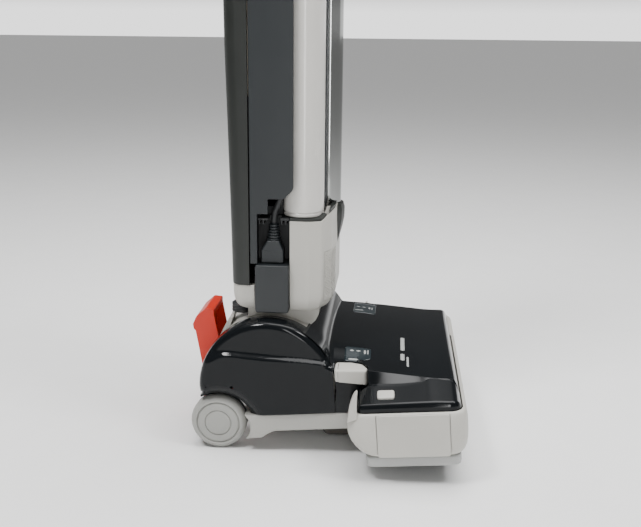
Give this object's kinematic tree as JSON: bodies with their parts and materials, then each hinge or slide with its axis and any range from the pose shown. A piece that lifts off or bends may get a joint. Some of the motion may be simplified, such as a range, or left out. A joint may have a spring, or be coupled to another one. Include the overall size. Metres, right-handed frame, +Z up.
{
  "type": "upright vacuum cleaner",
  "caption": "Upright vacuum cleaner parked upright: wide power head with wrap-round bumper, domed side covers, rear wheels and red foot pedal, slim tall body with wand, plug and loop handle.",
  "frame": {"origin": "on the floor, under the middle of the whole machine with the body parked upright", "axes": "+X forward towards the front bumper, +Y to the machine's left, +Z up"},
  "size_m": [0.3491, 0.36, 1.1964],
  "materials": {
    "pale_plastic": "satin warm grey",
    "pale_gloss": "glossy warm grey",
    "gloss_black": "high gloss near-black",
    "sole_plastic": "matte cool grey",
    "slate_plastic": "satin slate",
    "charcoal_plastic": "fine grained charcoal",
    "black_plastic": "matte black",
    "red_plastic": "satin orange red",
    "chrome": "polished",
    "steel": "turned",
    "roller_plastic": "matte brown grey",
    "rubber": "matte",
    "bristle": "tufted nylon",
    "paper_bag": "paper fleece",
    "label_print": "printed dark panel"
  },
  "bodies": {
    "base": {"base_chassis": "pale_plastic", "side_cover_right": "gloss_black", "side_cover_left": "gloss_black", "head_cover": "gloss_black", "front_insert": "pale_plastic", "bumper": "pale_plastic", "end_cap_left": "pale_plastic", "sole_plate": "sole_plastic", "brush_motor": "steel", "drive_belt": "rubber", "axle_right": "steel", "axle_left": "steel", "lift_frame": "roller_plastic", "label_right": "label_print", "label_left": "label_print", "pivot_bush_right": "black_plastic", "pivot_bush_left": "black_plastic"},
    "end_cap": {"end_cap_right": "pale_plastic"},
    "brush": {"brush_roller": "black_plastic", "bristle_row_1": "bristle", "bristle_row_2": "bristle"},
    "motor_shaft": {"motor_pulley": "steel"},
    "wheel_r": {"wheel_right": "pale_plastic"},
    "wheel_l": {"wheel_left": "pale_plastic"},
    "roller_r": {"lift_roller_right": "rubber"},
    "roller_l": {"lift_roller_left": "rubber"},
    "foot_pedal": {"release_pedal": "red_plastic"},
    "height_pedal": {"height_pedal": "pale_plastic"},
    "brush_button": {"brush_release_button": "pale_plastic"},
    "upright": {"neck_drum": "pale_plastic", "hose_guard": "pale_plastic", "neck_hose": "rubber", "rear_cap": "pale_plastic", "body_core": "black_plastic", "side_panel_right": "slate_plastic", "side_panel_left": "slate_plastic", "socket_box": "slate_plastic", "plug_body": "slate_plastic", "plug_relief": "slate_plastic", "plug_lead": "rubber", "cord_comb": "black_plastic", "pillar_right": "pale_gloss", "pillar_left": "pale_gloss", "front_spine": "slate_plastic", "wand_holder": "charcoal_plastic", "motor_housing": "pale_plastic", "housing_gasket": "charcoal_plastic", "suction_motor": "steel", "dust_bag": "paper_bag", "top_cap": "slate_plastic", "handle_stem": "chrome", "handle_grip": "charcoal_plastic", "mains_inlet": "rubber"},
    "bag_door": {"rear_cover": "charcoal_plastic"},
    "door_latch": {"door_latch": "pale_plastic"},
    "wand": {"wand": "chrome"},
    "filter_door": {"filter_panel": "pale_plastic"},
    "switch": {"power_switch": "red_plastic"},
    "cord_hook": {"cord_hook_upper": "charcoal_plastic"}
  },
  "joints": [
    {"name": "handle_recline", "type": "hinge", "parent": "base", "child": "upright", "pos_m": [-0.06588, 0, 0.08462], "axis": [0, 1, 0], "range_deg": [-70, 0]},
    {"name": "foot_pedal_fold", "type": "hinge", "parent": "base", "child": "foot_pedal", "pos_m": [-0.15716, 0, 0.03547], "axis": [0, 1, 0], "range_deg": [-72, 0]},
    {"name": "wheel_right_spin", "type": "hinge", "parent": "base", "child": "wheel_r", "pos_m": [-0.1281, -0.097, 0.03475], "axis": [0, 1, 0], "continuous": true},
    {"name": "wheel_left_spin", "type": "hinge", "parent": "base", "child": "wheel_l", "pos_m": [-0.1281, 0.097, 0.03475], "axis": [0, 1, 0], "continuous": true},
    {"name": "lift_roller_right_spin", "type": "hinge", "parent": "base", "child": "roller_r", "pos_m": [0.01662, -0.045, 0.00872], "axis": [0, 1, 0], "continuous": true},
    {"name": "lift_roller_left_spin", "type": "hinge", "parent": "base", "child": "roller_l", "pos_m": [0.01662, 0.045, 0.00872], "axis": [0, 1, 0], "continuous": true},
    {"name": "brush_spin", "type": "hinge", "parent": "base", "child": "brush", "pos_m": [0.11629, 0, 0.05344], "axis": [0, 1, 0], "continuous": true},
    {"name": "motor_shaft_spin", "type": "hinge", "parent": "base", "child": "motor_shaft", "pos_m": [0.06479, -0.145, 0.08181], "axis": [0, 1, 0], "continuous": true},
    {"name": "height_pedal_press", "type": "slide", "parent": "base", "child": "height_pedal", "axis": [0.0819, 0, -0.9966], "range_m": [0, 0.005], "stiffness_N_per_m": 400, "springref_m": -0.002},
    {"name": "brush_button_press", "type": "slide", "parent": "base", "child": "brush_button", "axis": [0.0819, 0, -0.9966], "range_m": [0, 0.003], "stiffness_N_per_m": 300, "springref_m": -0.002},
    {"name": "end_cap_pull", "type": "slide", "parent": "base", "child": "end_cap", "axis": [0, -1, 0], "range_m": [0, 0.06]},
    {"name": "bag_door_hinge", "type": "hinge", "parent": "upright", "child": "bag_door", "pos_m": [-0.113, 0, 0.79865], "axis": [0, 1, 0], "range_deg": [0, 75]},
    {"name": "door_latch_press", "type": "slide", "parent": "bag_door", "child": "door_latch", "axis": [1, 0, 0], "range_m": [0, 0.002], "stiffness_N_per_m": 300, "springref_m": -0.002},
    {"name": "wand_lift", "type": "slide", "parent": "upright", "child": "wand", "axis": [0, 0, 1], "range_m": [0, 0.25]},
    {"name": "filter_door_pull", "type": "slide", "parent": "upright", "child": "filter_door", "axis": [1, 0, 0], "range_m": [0, 0.06]},
    {"name": "switch_rock", "type": "hinge", "parent": "upright", "child": "switch", "pos_m": [-0.021, 0.04, 0.83385], "axis": [0, 1, 0], "range_deg": [-7, 0]},
    {"name": "cord_hook_turn", "type": "hinge", "parent": "upright", "child": "cord_hook", "pos_m": [-0.054, 0, 0.99285], "axis": [0, 0, 1], "range_deg": [0, 90]}
  ],
  "couplings": [
    {"joint": "foot_pedal_fold", "follows": "handle_recline", "ratio": 1},
    {"joint": "motor_shaft_spin", "follows": "brush_spin", "ratio": 1.4706}
  ]
}
